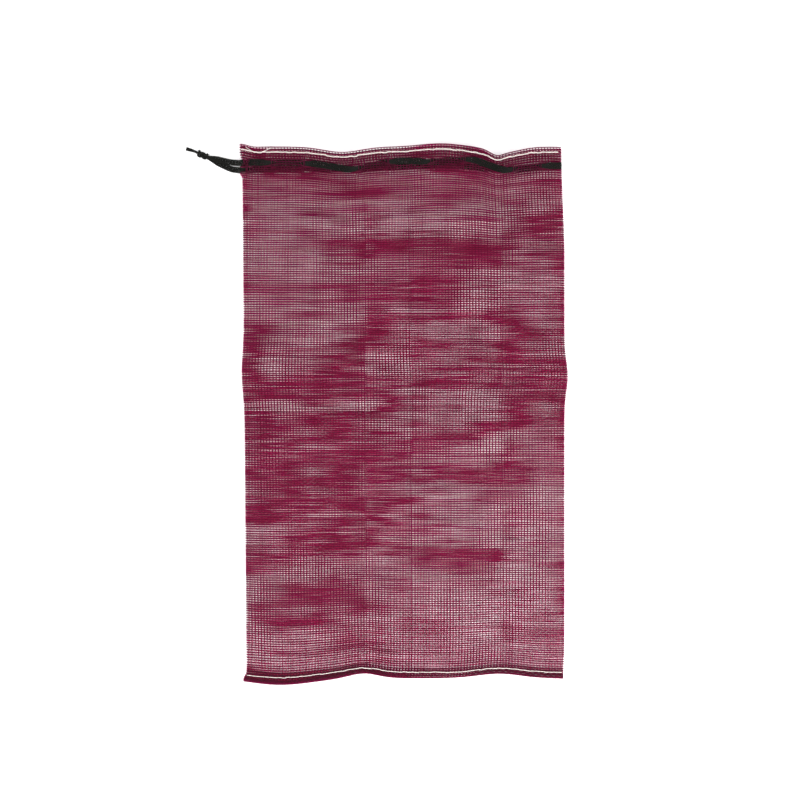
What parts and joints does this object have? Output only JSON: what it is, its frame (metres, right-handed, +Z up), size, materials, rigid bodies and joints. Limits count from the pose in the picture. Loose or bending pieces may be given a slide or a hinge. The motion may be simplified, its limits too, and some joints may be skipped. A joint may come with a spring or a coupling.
{
  "type": "mesh onion bag",
  "caption": "Empty woven mesh produce bag lying flat: an open tube of net with a hemmed mouth, a woven-in drawstring and a sewn closed end.",
  "frame": {"origin": "on the floor under the middle of the bag's outline, the drawstring's tail left out", "axes": "+X across the bag to the right as seen from above, +Y along the bag towards the mouth, +Z up"},
  "size_m": [0.5725, 0.8118, 0.0166],
  "materials": {
    "net": "woven flat plastic tape, maroon, slightly shiny",
    "drawstring": "knitted plastic tape, greenish black",
    "thread": "cream sewing thread"
  },
  "bodies": {
    "root": {"net_bag": "net", "drawstring": "drawstring", "mouth_stitch_front": "thread", "mouth_stitch_back": "thread", "seam_stitch": "thread"}
  },
  "joints": []
}
